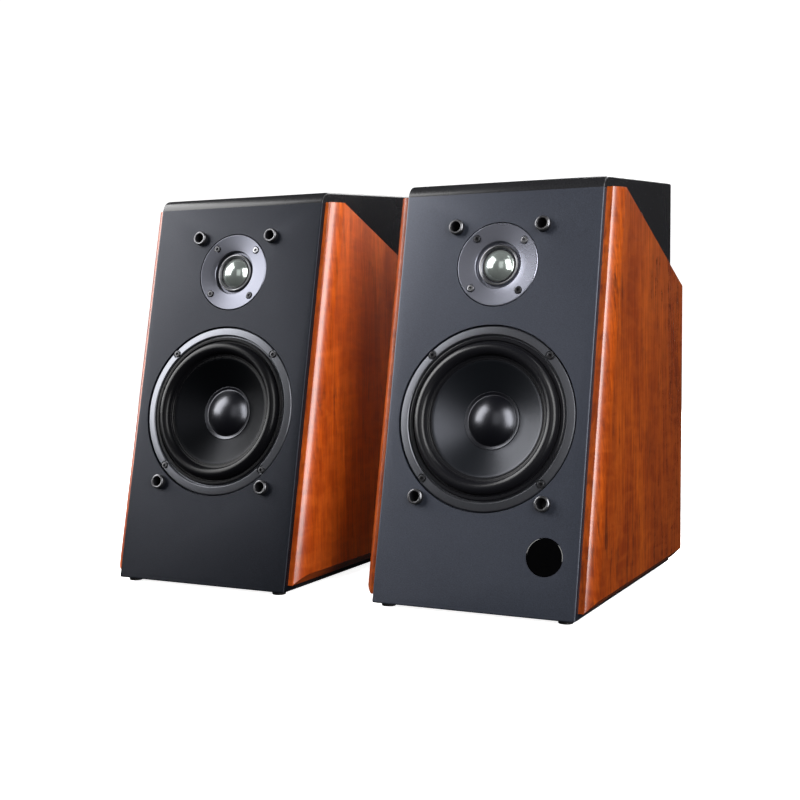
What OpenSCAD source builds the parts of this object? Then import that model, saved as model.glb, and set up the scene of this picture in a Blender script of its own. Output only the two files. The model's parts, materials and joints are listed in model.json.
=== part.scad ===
// A pair of two-way desktop loudspeakers with tilted fronts and wooden side panels.
// The right speaker is powered and carries the amplifier; the left one is passive.
// Millimetres. +X to the listener's right, -Y towards the listener, +Z up, feet on z = 0.

/* [Pair] */
// Distance between the centre lines of the two speakers
pair_pitch = 249; // [210:1:600]

/* [Cabinet] */
// Width of one cabinet without its wooden side panels
cab_w = 168; // [164:1:190]
// Depth of the cabinet at its base
cab_d = 276; // [260:1:320]
// Length of the front board, measured up its slope
front_len = 332; // [328:1:345]
// Backward lean of the front, in degrees
tilt = 12.2; // [10:0.1:13]
// Rise of the top towards the rear, in degrees
top_rise = 4; // [2:0.5:5]
// Radius of the rounded edge between the front and the top
nose_r = 12; // [10:1:14]
// Radius of the rear top edge
rear_r = 3; // [2:0.5:4]
// Thickness of the cabinet walls
wall = 12; // [10:1:13]
// Thickness of the front board
baffle_t = 18; // [16:1:20]

/* [Feet] */
// Height of the rubber feet
foot_h = 3; // [2:0.5:5]
// Radius of the rubber feet
foot_r = 6; // [5:0.5:9]
// Distance of a foot's centre from the cabinet's side
foot_in = 10.5; // [9:0.5:20]

/* [Wooden side panels] */
// Thickness of a side panel
panel_t = 12; // [9:0.5:13]
// Flat strip left on the front edge of a side panel
panel_lip = 4.8; // [3:0.1:5.5]
// Distance of a side panel behind the plane of the front
panel_setback = 5.5; // [3:0.5:8]
// Depth over which the front edge rounds into the outer face
panel_round = 14; // [12:1:18]
// Width of the sloping facet along the bottom of a side panel
panel_facet = 8; // [6:0.5:8]
// Height of a side panel's underside above the table
panel_low = 8.5; // [6:0.5:12]
// Height of a side panel at its front top corner
panel_top = 328; // [320:1:330]
// Length of the level stretch at the front top corner
panel_level = 12; // [6:1:20]
// Height of a side panel at its rear edge
panel_rear_top = 257; // [240:1:280]
// Distance of a side panel's rear edge in front of the cabinet's back
panel_rear_in = 4; // [0:0.5:10]

/* [Bass driver] */
// Distance of the bass driver's centre up the slope
bass_u = 150; // [148:1:152]
// Radius of the bass driver's mounting ring
bass_r = 73.5; // [72:0.5:73.5]

/* [Treble driver] */
// Distance of the treble driver's centre up the slope
treble_u = 273; // [270:1:276]
// Radius of the treble driver's faceplate
treble_r = 34; // [32:0.5:34]
// Radius of the treble dome
dome_r = 12.4; // [12:0.1:12.5]

/* [Grille sockets] */
// Sideways distance of the upper sockets from the middle
socket_top_x = 36.7; // [36:0.1:60]
// Distance of the upper sockets up the slope
socket_top_u = 304; // [302:1:310]
// Sideways distance of the lower sockets from the middle
socket_low_x = 52.7; // [52:0.1:70]
// Distance of the lower sockets up the slope
socket_low_u = 85.5; // [70:0.5:88]
// Radius of the hole in a socket
socket_bore_r = 4.1; // [3:0.1:4.3]

/* [Window on the powered speaker] */
// Sideways distance of the window from the middle
window_x = 56.6; // [50:0.1:60]
// Distance of the window's centre up the slope
window_u = 46; // [40:1:50]
// Radius of the window
window_r = 14.5; // [10:0.5:15]

/* [Back] */
// Width of the amplifier's back plate
plate_w = 116; // [112:1:120]
// Height of the amplifier's back plate
plate_h = 200; // [196:1:206]
// Inner radius of the reflex port
port_r = 20; // [15:1:22]
// Length of the reflex port
port_len = 90; // [60:5:110]

/* [Hidden] */
$fn = 64;

// Colours
c_shell = [0.1, 0.1, 0.11];
c_front = [0.27, 0.28, 0.31];
c_wood = [0.55, 0.26, 0.12];
c_black = [0.07, 0.07, 0.08];
c_metal = [0.6, 0.6, 0.63];
c_rubber = [0.12, 0.12, 0.13];
c_board = [0.1, 0.3, 0.16];
c_red = [0.7, 0.08, 0.06];

// Depth of the whole pair, from the foot of the front to the tips of the knobs
knob_reach = 18;
y_mid = (cab_d + knob_reach) / 2;

// Side outline of the cabinet, as (y, z) points
top_y0 = front_len * sin(tilt) + nose_r * cos(tilt);
top_z0 = foot_h + front_len * cos(tilt) - nose_r * sin(tilt);
front_top = [front_len * sin(tilt), foot_h + front_len * cos(tilt)];
nose_top = [top_y0 - nose_r * sin(top_rise), top_z0 + nose_r * cos(top_rise)];
rear_top_z = nose_top[1] + (cab_d - nose_top[0]) * tan(top_rise);
// Where the rear edge's rounding starts, down the back and along the top
rear_cut = rear_r * tan((90 + top_rise) / 2);
// Inner top line of the cabinet, wall thickness below the outer one
in_top_rear = rear_top_z - wall / cos(top_rise);
in_x = cab_w / 2 - wall;
floor_z = foot_h + wall;
// Clearance between the upper end of the front board and the shell
seam = 0.02;

// Bass driver levels, measured outwards from the front's plane
ring_t = 5;
ring_in = 60;
ring_step = 66.3;
ring_step_d = 1.4;
ring_gap = 1;
drum_r = 62.4;
screw_pcr = 70.2;
bass_pocket = 1.5;
surround_r0 = 50;
surround_r1 = 61.4;
surround_t = 0.7;
cone_edge_z = -2.2;
cone_flat_r = 46;
cone_slope = 0.53;
cone_t = 0.8;
coil_r = 13;
cap_r = 20.2;
cap_h = 9;
drum_z = 14;
leg_r = 40;
shelf_z = -31;
gap_top = -46.5;
gap_bottom = -51.5;
magnet_bottom = -68;
motor_bottom = -73;

// Treble driver levels
dish_d = 1.4;
throat_r = 19;
treble_plate_t = 3;
treble_floor = -5.4;
treble_body = -6.6;
treble_pcr = 28.6;
treble_turn = -3;

// Back plate positions, from the plate's centre: right as seen from behind, then up
plate_t = 3;
plate_z = 136;
knob_y = 72;
knob_x = 34;
jack_at = [-32, 38];
clip_at = [26, 38];
switch_at = [-32, -66];
inlet_at = [20, -66];
knob_r = 8.5;
spindle_r = 3;
run = 0.05;
jack_r = 4.15;
jack_len = 9;
port_z = 292;
port_t = 2.4;
left_clip_z = 120;
lever_pitch = 21;
wire_r = 1.7;

// Moves its children onto the front of a cabinet: across, up the slope, outwards
module on_front(x, u, out = 0) {
    translate([0, 0, foot_h]) rotate([90 - tilt, 0, 0]) translate([x, u, out]) children();
}

// Moves its children onto the back of a cabinet: its x runs right as seen from behind
module on_back(x, z, out = 0) {
    translate([-x, cab_d, z]) rotate([90, 0, 180]) translate([0, 0, out]) children();
}

// Extrudes a (y, z) outline across the cabinet
module across(x0, x1) {
    translate([x0, 0, 0]) rotate([90, 0, 90]) linear_extrude(x1 - x0) children();
}

module right_place() { translate([pair_pitch / 2, -y_mid, 0]) children(); }
module left_place() { translate([-pair_pitch / 2, -y_mid, 0]) children(); }

// A rod, bore or disc between two levels
module rod(r, z0, z1) { translate([0, 0, z0]) cylinder(r = r, h = z1 - z0); }

// A block given by its centre in x and y and its two levels
module block(w, h, z0, z1) { translate([-w / 2, -h / 2, z0]) cube([w, h, z1 - z0]); }

// A flat plate with round corners
module round_plate(w, h, r, t) {
    linear_extrude(t) {
        square([w - 2 * r, h], center = true);
        square([w, h - 2 * r], center = true);
        for (sx = [-1, 1], sy = [-1, 1])
            translate([sx * (w / 2 - r), sy * (h / 2 - r)]) circle(r);
    }
}

// Four places on a circle, on the diagonals or a few degrees off them
module on_diagonals(r, turn = 0) {
    for (a = [45 : 90 : 315]) rotate([0, 0, a + turn]) translate([r, 0, 0]) children();
}

// Cabinet

// Points of an arc in the (y, z) plane
function arc(centre, r, from, to, steps) =
    [for (i = [0 : steps]) let (a = from + (to - from) * i / steps) centre + r * [cos(a), sin(a)]];

module cabinet_outline() {
    polygon(concat(
        [[0, foot_h]],
        arc([top_y0, top_z0], nose_r, 180 - tilt, 90 + top_rise, 24),
        arc([cab_d - rear_r, rear_top_z - rear_cut], rear_r, 90 + top_rise, 0, 12),
        [[cab_d, foot_h]]
    ));
}

// Side outline of the front board, or with extra = 1 of the room that the shell leaves for it
module baffle_outline(extra = 0) {
    top = front_top + extra * seam * [sin(tilt), cos(tilt)];
    deep = baffle_t + extra * seam;
    polygon([
        [-extra * 2, foot_h - extra],
        [top[0] - extra * cos(tilt), top[1] + extra * sin(tilt)],
        [top[0] + deep * cos(tilt), top[1] - deep * sin(tilt)],
        [deep / cos(tilt) - extra * tan(tilt), foot_h - extra]
    ]);
}

// Height of the inner top line at a given depth
function in_top(y) = in_top_rear - (cab_d - y) * tan(top_rise);

module cavity_outline() {
    polygon([
        [0, floor_z], [cab_d * 0.3, in_top(cab_d * 0.3)],
        [cab_d + 1, in_top(cab_d + 1)], [cab_d + 1, floor_z]
    ]);
}

module cabinet_shell() {
    color(c_shell) difference() {
        across(-cab_w / 2, cab_w / 2) cabinet_outline();
        across(-cab_w / 2 - 1, cab_w / 2 + 1) baffle_outline(1);
        across(-in_x, in_x) intersection() {
            cavity_outline();
            cabinet_outline_behind();
        }
    }
}

// Everything behind the front board's plane, to keep the cavity off the rounded nose
module cabinet_outline_behind() {
    polygon([
        [baffle_t / cos(tilt) - 2, foot_h],
        [front_top[0] + baffle_t * cos(tilt) - 2, front_top[1] - baffle_t * sin(tilt)],
        [cab_d + 2, 500], [cab_d + 2, foot_h]
    ]);
}

module front_board(with_window) {
    color(c_front) difference() {
        across(-cab_w / 2, cab_w / 2) baffle_outline();
        on_front(0, bass_u) {
            rod(bass_r + ring_gap, -ring_t, 20);
            rod(drum_r + 0.6, -40, 20);
            on_diagonals(screw_pcr) rod(1.75, -16, 0);
        }
        on_front(0, treble_u) {
            rod(treble_r + 0.6, -treble_plate_t, 20);
            rod(24, -40, 20);
            on_diagonals(treble_pcr, treble_turn) rod(1.5, -14, 0);
        }
        socket_places() rod(socket_bore_r + 0.8, -12, 20);
        if (with_window) on_front(window_x, window_u) {
            rod(window_r + 0.1, -3, 20);
            rod(6, -40, 20);
        }
    }
}

module back_board(with_amplifier) {
    color(c_shell) difference() {
        across(-in_x, in_x) intersection() {
            cavity_outline();
            translate([cab_d - wall, 0]) square([wall, 500]);
        }
        on_back(0, port_z) rod(port_r + port_t, -wall - 1, 1);
        if (with_amplifier) {
            on_back(0, plate_z) block(plate_w - 16, plate_h - 16, -wall - 1, 1);
            plate_screw_places() rod(1.6, -10, 1);
        } else {
            on_back(0, left_clip_z) block(44, 28, -wall - 1, 1);
            left_screw_places() rod(1.6, -10, 1);
        }
    }
}

module feet() {
    color(c_rubber) for (sx = [-1, 1], y = [10, cab_d - 12])
        translate([sx * (cab_w / 2 - foot_in), y, 0]) rod(foot_r, 0, foot_h);
}

// Wooden side panel on the +X side: front rounding swept up the slope, cut by its outline
module wood_panel() {
    arc_r = (panel_round * panel_round + pow(panel_t - panel_lip, 2)) / (2 * (panel_t - panel_lip));
    rear_y = cab_d - panel_rear_in;
    corner_y = panel_setback + (panel_top - foot_h) * tan(tilt) + panel_level;
    diagonal = atan((panel_top - panel_rear_top) / (rear_y - corner_y));
    color(c_wood) difference() {
        intersection() {
            across(cab_w / 2, cab_w / 2 + panel_t) polygon([
                [0, panel_low], [rear_y, panel_low], [rear_y, panel_rear_top],
                [corner_y, panel_top], [0, panel_top]
            ]);
            translate([cab_w / 2, 0, foot_h]) rotate([-tilt, 0, 0])
                translate([0, panel_setback, -100]) linear_extrude(600) polygon(concat(
                    [[0, 0]],
                    arc([panel_t - arc_r, panel_round], arc_r, -asin(panel_round / arc_r), 0, 16),
                    [[panel_t, cab_d * 1.3], [0, cab_d * 1.3]]
                ));
        }
        translate([cab_w / 2 + panel_t - panel_facet, -1, panel_low]) rotate([0, 45, 0])
            translate([0, 0, -50]) cube([50, cab_d + 20, 50]);
        translate([cab_w / 2 + panel_t, corner_y, panel_top]) rotate([-diagonal, 0, 0])
            rotate([0, -45, 0]) translate([0, -60, -0.7]) cube([20, 300, 20]);
    }
}

// Grille sockets

module socket_places() {
    for (sx = [-1, 1]) {
        on_front(sx * socket_top_x, socket_top_u) children();
        on_front(sx * socket_low_x, socket_low_u) children();
    }
}

module grille_sockets() {
    color(c_black) socket_places() rotate_extrude() difference() {
        union() {
            translate([0, -12]) square([socket_bore_r + 0.78, 12.1]);
            square([6.2, 3.6]);
            square([5.3, 4.5]);
            translate([5.3, 3.6]) circle(0.9);
        }
        translate([-1, -10]) square([socket_bore_r + 1, 20]);
    }
}

// Bass driver

// Inner radius of the basket's legs at a given level
function leg_at(z) = leg_r + (ring_in - leg_r) * (z - gap_top - 2) / (-drum_z - gap_top - 2);

module bass_basket() {
    color(c_black) on_front(0, bass_u) difference() {
        rotate_extrude() polygon([
            [ring_in, -ring_step_d], [ring_step, -ring_step_d], [ring_step, 0], [bass_r, 0],
            [bass_r, -ring_t], [drum_r, -ring_t], [drum_r, -drum_z], [leg_r + 2.5, gap_top],
            [16, gap_top], [16, gap_top + 2], [leg_r, gap_top + 2],
            [leg_at(shelf_z - 2), shelf_z - 2], [36, shelf_z - 2], [36, shelf_z],
            [leg_at(shelf_z), shelf_z], [ring_in, -drum_z]
        ]);
        for (a = [0 : 60 : 300]) rotate([0, 0, a]) translate([49.6, -17, -29]) cube([30, 34, 12]);
        on_diagonals(screw_pcr) {
            rod(1.95, -6, 1);
            rod(3.4, -bass_pocket, 1);
        }
    }
}

module bass_motor() {
    color(c_metal) on_front(0, bass_u) rotate_extrude() {
        translate([coil_r + 1.2, gap_bottom]) square([40 - coil_r - 1.2, gap_top - gap_bottom]);
        translate([20, magnet_bottom]) square([25, gap_bottom - magnet_bottom]);
        translate([0, motor_bottom]) square([40, magnet_bottom - motor_bottom]);
        translate([0, magnet_bottom]) square([coil_r - 0.9, gap_top - magnet_bottom]);
    }
}

function cone_z(r) = cone_edge_z - (cone_flat_r - r) * cone_slope;

module bass_cone() {
    color(c_rubber) on_front(0, bass_u) rotate_extrude() {
        polygon([
            [coil_r, cone_z(coil_r)], [cone_flat_r, cone_edge_z], [surround_r0, cone_edge_z],
            [surround_r0, cone_edge_z - cone_t], [cone_flat_r, cone_edge_z - cone_t],
            [coil_r + 0.9, cone_z(coil_r) - cone_t], [coil_r + 0.9, cone_z(coil_r) - 3],
            [coil_r, cone_z(coil_r) - 3]
        ]);
    }
}

module bass_dust_cap() {
    ball = (cap_r * cap_r + cap_h * cap_h) / (2 * cap_h);
    base = cone_z(cap_r) + 0.9;
    color(c_black) on_front(0, bass_u) rotate_extrude() {
        polygon([
            [cap_r - 0.8, cone_z(cap_r - 0.8)], [cap_r + 3, cone_z(cap_r + 3)],
            [cap_r + 3, cone_z(cap_r + 3) + 0.7], [cap_r - 0.8, base]
        ]);
        intersection() {
            translate([0, base - 0.2]) square([cap_r, cap_h + 1]);
            difference() {
                translate([0, base + cap_h - ball]) circle(ball);
                translate([0, base + cap_h - ball]) circle(ball - 0.7);
            }
        }
    }
}

// Rubber half-roll between the cone and the mounting ring, with its outer lip
module bass_surround() {
    mid = (surround_r0 + surround_r1) / 2;
    roll = (surround_r1 - surround_r0) / 2;
    color(c_rubber) on_front(0, bass_u) rotate_extrude() {
        translate([surround_r1 - surround_t, -ring_step_d]) square([ring_step - 0.6 - surround_r1 + surround_t, 1.2]);
        translate([cone_flat_r + 0.4, cone_edge_z]) square([surround_r0 - cone_flat_r - 0.4 + surround_t, surround_t]);
        translate([surround_r0, cone_edge_z]) square([surround_t, 1.2 - cone_edge_z - ring_step_d]);
        intersection() {
            translate([surround_r0, -0.4]) square([2 * roll, roll + 2]);
            difference() {
                translate([mid, -0.4]) circle(roll);
                translate([mid, -0.4]) circle(roll - surround_t);
            }
        }
    }
}

// Corrugated suspension disc behind the cone
module bass_spider() {
    waves = 7;
    r0 = coil_r;
    step = (36.5 - r0) / (2 * waves);
    top = [for (i = [0 : 2 * waves]) [r0 + i * step, shelf_z + 0.6 + (i % 2) * 1.4]];
    under = [for (i = [2 * waves : -1 : 0]) [r0 + i * step, shelf_z + (i % 2) * 1.4]];
    color(c_wood) on_front(0, bass_u) rotate_extrude()
        polygon(concat(top, [[41, shelf_z + 0.6], [41, shelf_z]], under));
}

module bass_voice_coil() {
    color(c_metal) on_front(0, bass_u) rotate_extrude() {
        translate([coil_r - 0.4, -56]) square([0.4, 35.6]);
        translate([coil_r - 0.1, -55]) square([0.6, 12]);
    }
}

module bass_screws() {
    color(c_black) on_front(0, bass_u) on_diagonals(screw_pcr) difference() {
        union() {
            rod(1.75, -16, -bass_pocket + 0.1);
            rod(2.7, -bass_pocket, 0.2);
        }
        translate([0, 0, -0.9]) cylinder(r = 1.4, h = 3, $fn = 6);
    }
}

// Treble driver

module treble_faceplate() {
    color(c_front) on_front(0, treble_u) difference() {
        rotate_extrude() polygon([
            [22, treble_body], [22, -treble_plate_t], [treble_r, -treble_plate_t],
            [treble_r, -0.4], [treble_r - 0.5, 0], [throat_r + 0.6, -dish_d],
            [throat_r, -dish_d - 0.6], [throat_r - 0.8, treble_floor + 0.6],
            [16.9, treble_floor + 0.6], [16.6, -2.9], [16, -2.6], [15.4, -2.9],
            [14.2, -3.8], [14.2, treble_floor], [13.2, treble_floor], [13.2, treble_body]
        ]);
        on_diagonals(treble_pcr, treble_turn) {
            rod(1.7, -5, 5);
            rod(3.2, -1.7, 5);
        }
    }
}

module treble_dome() {
    dome_h = 6.2;
    ball = (dome_r * dome_r + dome_h * dome_h) / (2 * dome_h);
    base = -4.2;
    color(c_metal) on_front(0, treble_u) rotate_extrude() {
        intersection() {
            translate([0, base]) square([dome_r, 10]);
            difference() {
                translate([0, base + dome_h - ball]) circle(ball);
                translate([0, base + dome_h - ball]) circle(ball - 0.4);
            }
        }
        translate([dome_r - 0.45, -10]) square([0.3, 10 + base + 0.3]);
        translate([dome_r - 0.2, base - 0.3]) square([13.8 - dome_r, 0.4]);
        translate([13.2, base - 0.1]) circle(0.5);
    }
}

module treble_motor() {
    color(c_black) on_front(0, treble_u) rotate_extrude() {
        translate([dome_r + 0.5, -9.4]) square([20 - dome_r - 0.5, 9.4 + treble_body]);
        translate([15, -17]) square([6, 7.6]);
        translate([0, -20]) square([20, 3]);
        translate([0, -17]) square([dome_r - 0.9, 10.6]);
    }
}

module treble_screws() {
    color(c_black) on_front(0, treble_u) on_diagonals(treble_pcr, treble_turn) difference() {
        union() {
            rod(1.5, -14, -1.6);
            rod(2.9, -1.7, 0.4);
        }
        translate([0, 0, -0.8]) cylinder(r = 1.45, h = 3, $fn = 6);
    }
}

module window() {
    color(c_black) on_front(window_x, window_u) rotate_extrude() polygon([
        [0, -3], [window_r, -3], [window_r, -0.1], [window_r - 0.4, 0.3], [0, 0.3]
    ]);
}

// Back of both cabinets

module reflex_port() {
    color(c_black) on_back(0, port_z) rotate_extrude() difference() {
        union() {
            translate([0, -port_len]) square([port_r + port_t, port_len + 1]);
            square([port_r + 9, 2]);
        }
        translate([-1, -port_len - 1]) square([port_r + 1, port_len + 10]);
        polygon([[port_r - 1, -5], [port_r, -5], [port_r + 3.5, 2.5], [port_r - 1, 2.5]]);
    }
}

// Spring-clip terminal block: body inside, flange outside, two lever pockets, two wire holes
module terminal_block(flange_w, flange_h, flange_t, out) {
    color(c_black) translate([0, 0, out]) difference() {
        union() {
            round_plate(flange_w, flange_h, 3, flange_t);
            block(43, 27, -14, 0.1);
        }
        for (sx = [-1, 1]) translate([sx * lever_pitch / 2, 0, 0]) {
            translate([-6.3, -4.6, -12]) cube([12.6, 14.6, 30]);
            translate([-7.2, 5.5, -5]) rotate([0, 90, 0]) cylinder(r = 1.2 + run, h = 14.4);
            translate([0, -8.8, 0]) rod(wire_r, -10, 10);
        }
    }
}

// Lever of a spring clip, with its pivot pins; its centre line is on the clip's
module clip_lever(tint, out) {
    color(tint) translate([0, 0, out]) {
        rotate([90, 0, 90]) translate([0, 0, -6]) linear_extrude(12)
            polygon([[1.5, -8], [8.5, -8], [8.5, 3], [7, 10], [3, 10], [1.5, 5]]);
        translate([-7, 5.5, -5]) rotate([0, 90, 0]) cylinder(r = 1.2, h = 14);
    }
}

module screw(r, head_r, len) {
    rod(r, -len, 0.1);
    rod(head_r, 0, 1.6);
}

// Powered speaker's back

module on_plate(at, out = 0) { on_back(at[0], plate_z + at[1], out) children(); }

module plate_screw_places() {
    for (sx = [-1, 1], y = [-plate_h / 2 + 4, 0, plate_h / 2 - 4])
        on_back(sx * (plate_w / 2 - 4), plate_z + y) children();
}

module knob_places() {
    for (i = [-1 : 1]) on_plate([i * knob_x, knob_y]) children();
}

module amplifier_plate() {
    color(c_black) difference() {
        union() {
            on_plate([0, 0]) round_plate(plate_w, plate_h, 5, plate_t);
            for (i = [-6 : 6]) on_plate([i * 7.5, -14], plate_t - 0.1) block(2, 44, 0, 9);
        }
        plate_screw_places() rod(1.8, -1, 10);
        knob_places() rod(spindle_r + run, -1, 10);
        for (sx = [-1, 1]) on_plate([jack_at[0] + sx * 9, jack_at[1]]) rod(5.2, -1, 10);
        on_plate(clip_at) block(43.4, 27.4, -1, 10);
        on_plate(switch_at) block(15.4, 22, -1, 10);
        on_plate(inlet_at) block(28.4, 22.4, -1, 10);
    }
}

module plate_screws() {
    color(c_metal) plate_screw_places() translate([0, 0, plate_t]) screw(1.6, 3, 9);
}

// Circuit board with its pillars, potentiometers and capacitors
module amplifier_board() {
    color(c_board) difference() {
        union() {
            on_plate([0, 34]) block(92, 96, -24, -22.4);
            for (sx = [-1, 1], y = [-10, 78]) on_plate([sx * 42, y]) rod(2.5, -22.5, 0);
            knob_places() rod(8, -22.5, -6);
            for (x = [-26, -6]) on_plate([x, 8]) rod(8, -50, -23.9);
            on_plate([20, 6]) block(26, 18, -34, -23.9);
        }
        knob_places() rod(spindle_r + run, -11, 0);
    }
}

module transformer() {
    color(c_metal) translate([0, 172, floor_z]) {
        block(64, 26, 0, 48);
        block(34, 48, 6, 42);
        block(82, 26, 0, 2);
    }
}

// Control knob with a pointer line, in one piece with its spindle
module knob(i) {
    color(c_black) on_plate([i * knob_x, knob_y], plate_t) difference() {
        union() {
            rod(spindle_r, -plate_t - 10, 2);
            rod(knob_r, 1, knob_reach - plate_t - 0.6);
            rod(knob_r - 0.8, 1, knob_reach - plate_t);
        }
        for (a = [15 : 30 : 345]) rotate([0, 0, a]) translate([knob_r + 0.3, 0, 0]) rod(0.9, 4, 30);
        translate([-0.5, 3, knob_reach - plate_t - 0.6]) cube([1, 10, 5]);
    }
}

module power_switch_body() {
    color(c_black) on_plate(switch_at, plate_t) difference() {
        union() {
            round_plate(19, 26, 2, 1.6);
            block(15, 21.6, -17, 0.1);
        }
        block(12.2, 19.8, -7.5, 5);
        translate([-7, 0, -1]) rotate([0, 90, 0]) cylinder(r = 1.2 + run, h = 14);
    }
}

// Rocker drawn in its off position, tipped about its pivot pins
module power_rocker() {
    color(c_wood) on_plate(switch_at, plate_t) translate([0, 0, -1]) rotate([-8, 0, 0]) {
        rotate([90, 0, 90]) translate([0, 0, -5.8]) linear_extrude(11.6)
            polygon([[-8.8, 4.4], [0, 2.6], [8.8, 4.4], [8, -4], [-8, -4]]);
        translate([-6.8, 0, 0]) rotate([0, 90, 0]) cylinder(r = 1.2, h = 13.6);
    }
}

module mains_inlet() {
    color(c_black) on_plate(inlet_at, plate_t) {
        difference() {
            union() {
                round_plate(50, 25, 4, 3);
                block(28, 22, -22, 0.1);
            }
            translate([0, 0, -14]) linear_extrude(20) polygon([
                [-12, -8], [12, -8], [12, 4.5], [8.5, 8], [-8.5, 8], [-12, 4.5]
            ]);
            for (sx = [-1, 1]) translate([sx * 20, 0, 0]) rod(1.7, -1, 5);
        }
        for (at = [[0, 3], [-7, -2.5], [7, -2.5]]) translate([at[0], at[1], 0]) block(2, 4, -15, -1.8);
    }
}

// Pair of phono sockets on one insulating block
module input_jacks() {
    color(c_metal) on_plate(jack_at, plate_t) difference() {
        union() {
            block(36, 16, -15, -plate_t);
            for (sx = [-1, 1]) translate([sx * 9, 0, 0]) {
                rod(5.2, -plate_t - 0.1, 1.2);
                rod(jack_r, 0, jack_len);
            }
        }
        for (sx = [-1, 1]) translate([sx * 9, 0, 0]) rod(1.6, 0, 20);
    }
}

// Passive speaker's back

module left_screw_places() {
    for (sx = [-1, 1], sy = [-1, 1]) on_back(sx * 31, left_clip_z + sy * 19) children();
}

module left_block() {
    difference() {
        on_back(0, left_clip_z) terminal_block(72, 48, 2.5, 0);
        left_screw_places() rod(1.8, -5, 5);
    }
}

module left_screws() {
    color(c_metal) left_screw_places() translate([0, 0, 2.5]) screw(1.6, 3, 9);
}

// Crossover board behind the passive speaker's terminals
module crossover_board() {
    color(c_board) on_back(0, 186, -wall) {
        block(90, 70, -9.6, -8);
        for (sx = [-1, 1], sy = [-1, 1]) translate([sx * 40, sy * 30, 0]) rod(2.5, -8.1, 0);
        translate([-22, 8, 0]) difference() {
            rod(16, -26, -9.5);
            rod(6, -30, -9.6);
        }
        translate([22, 12, 0]) rod(9, -30, -9.5);
        translate([10, -20, 0]) block(36, 10, -18, -9.5);
    }
}

module clip_lever_at(out, sx, tint) {
    translate([sx * lever_pitch / 2, 0, 0]) clip_lever(tint, out);
}

right_place() cabinet_shell();  // right_cabinet_shell
right_place() front_board(true);  // right_front_board
right_place() mirror([1, 0, 0]) wood_panel();  // right_inner_wood_panel
right_place() wood_panel();  // right_outer_wood_panel
right_place() back_board(true);  // right_back_board
right_place() feet();  // right_feet
right_place() bass_basket();  // right_bass_basket
right_place() bass_motor();  // right_bass_motor
right_place() bass_cone();  // right_bass_cone
right_place() bass_dust_cap();  // right_bass_dust_cap
right_place() bass_surround();  // right_bass_surround
right_place() bass_spider();  // right_bass_spider
right_place() bass_voice_coil();  // right_bass_voice_coil
right_place() bass_screws();  // right_bass_screws
right_place() treble_faceplate();  // right_treble_faceplate
right_place() treble_dome();  // right_treble_dome
right_place() treble_motor();  // right_treble_motor
right_place() treble_screws();  // right_treble_screws
right_place() grille_sockets();  // right_grille_sockets
right_place() reflex_port();  // right_reflex_port
right_place() window();  // right_window
right_place() amplifier_plate();  // right_amplifier_plate
right_place() amplifier_board();  // right_amplifier_board
right_place() transformer();  // right_transformer
right_place() knob(-1);  // right_volume_knob
right_place() knob(0);  // right_bass_knob
right_place() knob(1);  // right_treble_knob
right_place() power_switch_body();  // right_power_switch_body
right_place() power_rocker();  // right_power_rocker
right_place() mains_inlet();  // right_mains_inlet
right_place() input_jacks();  // right_input_jacks
right_place() on_plate(clip_at) terminal_block(50, 33, 2.5, plate_t);  // right_terminal_block
right_place() on_plate(clip_at) clip_lever_at(plate_t, 1, c_red);  // right_red_lever
right_place() on_plate(clip_at) clip_lever_at(plate_t, -1, c_black);  // right_black_lever
right_place() plate_screws();  // right_plate_screws
left_place() cabinet_shell();  // left_cabinet_shell
left_place() front_board(false);  // left_front_board
left_place() wood_panel();  // left_inner_wood_panel
left_place() mirror([1, 0, 0]) wood_panel();  // left_outer_wood_panel
left_place() back_board(false);  // left_back_board
left_place() feet();  // left_feet
left_place() bass_basket();  // left_bass_basket
left_place() bass_motor();  // left_bass_motor
left_place() bass_cone();  // left_bass_cone
left_place() bass_dust_cap();  // left_bass_dust_cap
left_place() bass_surround();  // left_bass_surround
left_place() bass_spider();  // left_bass_spider
left_place() bass_voice_coil();  // left_bass_voice_coil
left_place() bass_screws();  // left_bass_screws
left_place() treble_faceplate();  // left_treble_faceplate
left_place() treble_dome();  // left_treble_dome
left_place() treble_motor();  // left_treble_motor
left_place() treble_screws();  // left_treble_screws
left_place() grille_sockets();  // left_grille_sockets
left_place() reflex_port();  // left_reflex_port
left_place() crossover_board();  // left_crossover_board
left_place() left_block();  // left_terminal_block
left_place() on_back(0, left_clip_z) clip_lever_at(0, 1, c_red);  // left_red_lever
left_place() on_back(0, left_clip_z) clip_lever_at(0, -1, c_black);  // left_black_lever
left_place() left_screws();  // left_terminal_screws
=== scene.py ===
"""Looks for a pair of desktop loudspeakers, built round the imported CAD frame."""

import json
from math import atan2, cos, pi, radians, sin, sqrt, tan

import bmesh
import bpy
from mathutils import Matrix, Quaternion, Vector

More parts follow.
